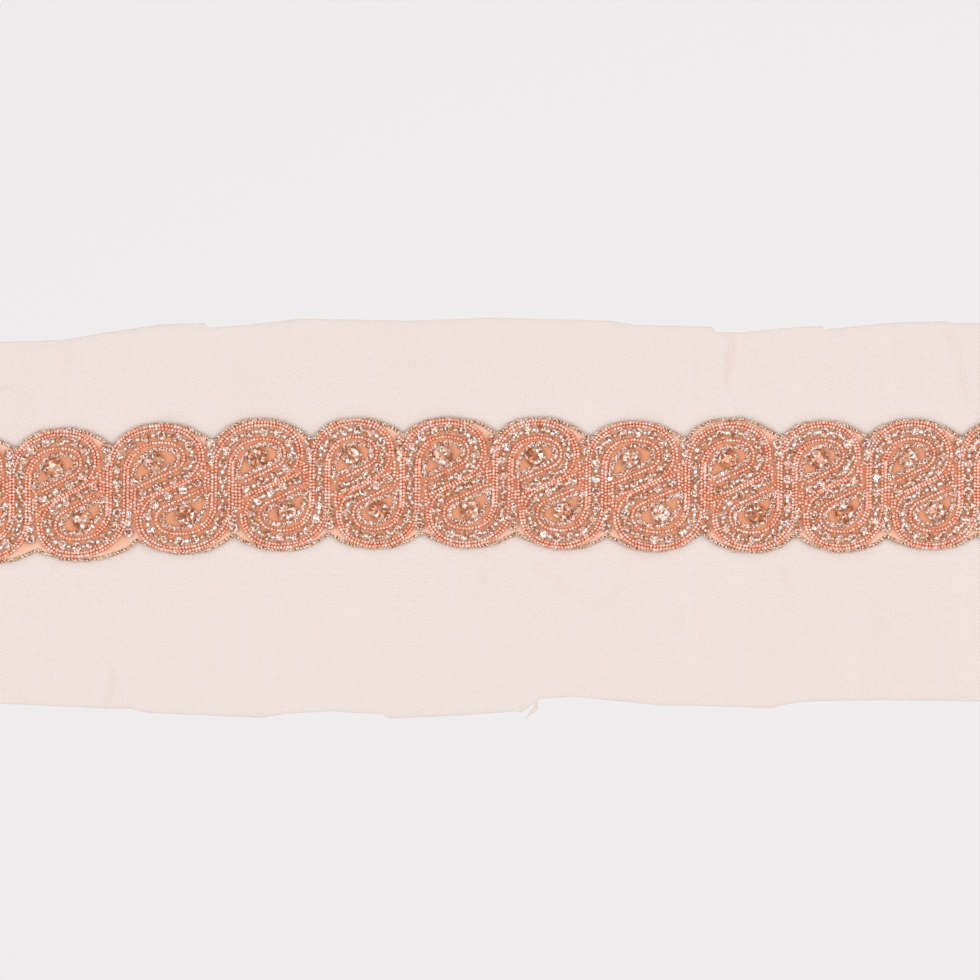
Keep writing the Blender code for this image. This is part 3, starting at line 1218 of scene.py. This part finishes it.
def edge_braid(name, side, node):
    """Two plies twisted round each other along one scalloped edge."""
    inwards = 1 if side else -1
    edge = np.array([tuple(p) for p in scalloped_edge(side)])
    ahead = np.gradient(edge, axis=0)
    ahead /= np.linalg.norm(ahead, axis=1)[:, None]
    inner = edge + inwards * BRAID_INSET * np.column_stack([-ahead[:, 1], ahead[:, 0]])
    xy, way = spaced(inner, BRAID_STEP)
    draw = random.Random(7 + side)
    knots = [draw.uniform(-1, 1) for _ in range(int(len(xy) / WANDER_STEPS) + 2)]
    at = np.arange(len(xy)) / WANDER_STEPS
    wander = np.interp(at, np.arange(len(knots)), knots) * BRAID_WANDER
    normal = np.column_stack([-way[:, 1], way[:, 0]])
    middle = xy + normal * wander[:, None]
    turn = np.arange(len(xy)) * BRAID_STEP / TWIST_PITCH * 2 * math.pi
    sides = PLY_SIDES
    parts = []
    for ply in range(2):
        angle = turn + ply * math.pi
        centre = np.column_stack(
            [
                middle + normal * (np.cos(angle) * LAY_RADIUS)[:, None],
                BRAID_LEVEL + np.sin(angle) * LAY_RADIUS,
            ]
        )
        points = []
        for c, n in zip(centre, normal):
            for k in range(sides):
                around = 2 * math.pi * k / sides
                aside, up = math.cos(around) * PLY_RADIUS, math.sin(around) * PLY_RADIUS
                points.append((c[0] + n[0] * aside, c[1] + n[1] * aside, c[2] + up))
        faces = [tuple(range(sides)), tuple(range(len(points) - sides, len(points)))]
        for i in range(len(centre) - 1):
            for k in range(sides):
                j = (k + 1) % sides
                faces.append(
                    (i * sides + k, i * sides + j, (i + 1) * sides + j, (i + 1) * sides + k)
                )
        parts.append((points, faces))
    braid = mesh_object(name, *joined(*parts))
    braid.data.materials.append(BRAID)
    finished(braid, "metal_braid", node)


def beading():
    seed_shape = bead_shape("seed_shape", SEED_WIDTH, SEED_LENGTH)
    spacer_shape = bead_shape("spacer_shape", SPACER_WIDTH, SPACER_LENGTH)
    radius = STONE_WIDTH / 2 * STONE_SHARE
    stone = brilliant(radius, girdle=1.4, top=2.3, sides=8)
    stone_shape = mesh_object("stone_shape", *stone)
    cup = setting(radius, height=1.35, claws=4, claw_width=0.75, top=1.85)
    cup_shape = mesh_object("cup_shape", *cup, smooth=False)
    radius = RING_WIDTH / 2 * RING_SHARE
    stone = brilliant(radius, girdle=0.8, top=1.3, sides=6)
    ring_shape = mesh_object("ring_shape", *stone)
    wall = [(radius * 0.6, 0.0), (radius * 0.95, 0.7), (radius * 0.8, 0.75), (radius * 0.7, 0.5)]
    ring_cup_shape = mesh_object("ring_cup_shape", *lathe(wall, sides=8), smooth=False)
    radius = EYE_STONE_WIDTH / 2
    stone = brilliant(radius, girdle=1.7, top=3.2, sides=12, table_share=0.44)
    eye_shape = mesh_object("eye_shape", *stone)
    cup = setting(radius, height=1.6, claws=4, claw_width=1.0, top=2.4, sides=16)
    eye_cup_shape = mesh_object("eye_cup_shape", *cup, smooth=False)

    stones, spacers, notch = stone_items()
    rings = ring_items()
    eyes = [(tuple(on_band(c, t, EYE)), (1.0, 0.0), 1.0) for c, t in hooks()]
    seeds = []
    for column, turned in hooks():
        for stops in SEED_ROWS:
            seeds += row_items(beside_hook(column, turned, stops), SEED_PITCH)
    taken = [(*xy, SEED_WIDTH / 2) for xy, way, size in seeds]
    taken += [(*xy, STONE_WIDTH / 2 * size) for xy, way, size in stones + notch]
    taken += [(*xy, SPACER_WIDTH / 2) for xy, way, size in spacers]
    taken += [(*xy, RING_WIDTH / 2) for xy, way, size in rings]
    fills = fill_items(taken)

    base = CLOTH_TOP
    scrolls = [f"scroll_{i:02d}" for i in range(MOTIFS + 1)]
    seed_level = base + SEED_WIDTH / 2
    spacer_level = base + SPACER_WIDTH / 2
    eye_level = base + EYE_RAISED
    half = len(seeds) // 2
    nodes = [f"eye_stone_{row}_{i:02d}" for row in ("upper", "lower") for i in range(1, MOTIFS + 1)]
    pieces = [
        # name, items, level, shape, finish, tilt, size spread, seed
        ("seed_beads_left", seeds[:half], seed_level, seed_shape, SEED, *SEED_LIE, 11),
        ("seed_beads_right", seeds[half:], seed_level, seed_shape, SEED, *SEED_LIE, 12),
        ("seed_bead_fills", fills, seed_level, seed_shape, SEED, *FILL_LIE, 13),
        ("spacer_beads", spacers, spacer_level, spacer_shape, SPACER, *SPACER_LIE, 14),
        ("scroll_stones", stones, base, stone_shape, STONE, *STONE_LIE, 15),
        ("scroll_stones_settings", stones, base, cup_shape, SILVER, *STONE_LIE, 15),
        ("notch_stones", notch, base, stone_shape, STONE, *STONE_LIE, 16),
        ("notch_stones_settings", notch, base, cup_shape, SILVER, *STONE_LIE, 16),
        ("ring_stones", rings, base, ring_shape, STONE, *RING_LIE, 17),
        ("ring_settings", rings, base, ring_cup_shape, SILVER, *RING_LIE, 17),
        ("eye_stones", eyes, eye_level, eye_shape, EYE_STONE, *EYE_LIE, 18),
        ("eye_stone_settings", eyes, eye_level, eye_cup_shape, SILVER, *EYE_LIE, 18),
    ]
    replaced = {"seed_beads_left": scrolls, "eye_stones": nodes}
    for name, *given in pieces:
        slot = "eye_stone" if name.startswith("eye_stone") else "beading"
        finished(set_on_points(name, *given), slot, *replaced.get(name, []))
    for shape in (seed_shape, spacer_shape, stone_shape, cup_shape, ring_shape, ring_cup_shape,
                  eye_shape, eye_cup_shape):
        bpy.data.objects.remove(shape)


# The surface, light and camera
FLOOR_HALF = 3.0
WORLD_STRENGTH = 0.8
SKY = [
    # height of the ray's direction, colour
    (0.0, (0.2, 0.17, 0.15)),
    (0.45, (0.45, 0.43, 0.42)),
    (0.85, (1.0, 1.0, 1.0)),
]


def stage():
    half = FLOOR_HALF
    floor_mesh = bpy.data.meshes.new("floor")
    corners = [(-half, -half, 0), (half, -half, 0), (half, half, 0), (-half, half, 0)]
    floor_mesh.from_pydata(corners, [], [(0, 1, 2, 3)])
    floor = bpy.data.objects.new("floor", floor_mesh)
    bpy.context.scene.collection.objects.link(floor)
    made, graph, shader = blank_material("pale_surface")
    plug(shader, graph, Base_Color=srgb(226, 224, 225), Roughness=0.9)
    floor_mesh.materials.append(made)

    world = bpy.data.worlds.new("soft_light")
    bpy.context.scene.world = world
    world.use_nodes = True
    graph = Graph(world.node_tree)
    background = world.node_tree.nodes["Background"]
    ray = graph.add("ShaderNodeTexCoord", output="Generated")
    height = graph.add("ShaderNodeSeparateXYZ", None, {"Vector": ray}, "Z")
    sky = ramp(graph, height, SKY)
    graph.tree.links.new(sky.socket, background.inputs["Color"])
    background.inputs["Strength"].default_value = WORLD_STRENGTH

    lights = [
        # name, x, y, z, width, power
        ("window_left", -0.85, -0.1, 1.8, 1.1, 10.8),
        ("window_right", 0.85, 0.1, 1.8, 1.1, 9.2),
        ("glint_1", 0.4, -0.5, 1.3, 0.06, 0.7),
        ("glint_2", -0.6, -0.4, 1.2, 0.06, 0.7),
        ("glint_3", 0.1, 0.2, 1.5, 0.06, 0.7),
        ("glint_4", 0.9, 0.1, 0.9, 0.06, 0.7),
    ]
    for name, x, y, z, width, power in lights:
        data = bpy.data.lights.new(name, "AREA")
        data.size = width
        data.energy = power
        light = bpy.data.objects.new(name, data)
        light.location = (x, y, z)
        light.rotation_euler = Vector((-x, -y, -z)).to_track_quat("-Z", "Y").to_euler()
        bpy.context.scene.collection.objects.link(light)

    camera_data = bpy.data.cameras.new("camera")
    camera_data.lens = LENS
    camera_data.sensor_width = SENSOR
    camera = bpy.data.objects.new("camera", camera_data)
    distance = VIEW_WIDTH / 2 / (SENSOR / 2 / LENS)
    camera.location = (VIEW_CENTRE[0] * MM, VIEW_CENTRE[1] * MM, distance * MM)
    camera_data.clip_end = 100.0
    bpy.context.scene.collection.objects.link(camera)
    bpy.context.scene.camera = camera
    bpy.context.scene.view_settings.view_transform = "Standard"


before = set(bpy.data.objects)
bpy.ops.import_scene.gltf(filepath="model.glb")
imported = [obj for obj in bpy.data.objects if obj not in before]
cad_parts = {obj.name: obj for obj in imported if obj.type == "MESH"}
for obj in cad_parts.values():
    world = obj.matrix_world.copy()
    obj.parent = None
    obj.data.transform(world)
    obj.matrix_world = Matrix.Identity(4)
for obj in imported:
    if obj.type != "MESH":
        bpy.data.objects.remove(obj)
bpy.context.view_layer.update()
stage()
SCATTER = scatter_tree()
SEED = seed_material()
STONE = stone_material()
EYE_STONE = eye_stone_material()
SILVER = silver_material()
SPACER = spacer_material()
BRAID = braid_material()
net_sheet()
band_sheet()
edge_braid("braid_upper", UPPER, "edge_braid_upper")
edge_braid("braid_lower", LOWER, "edge_braid_lower")
beading()
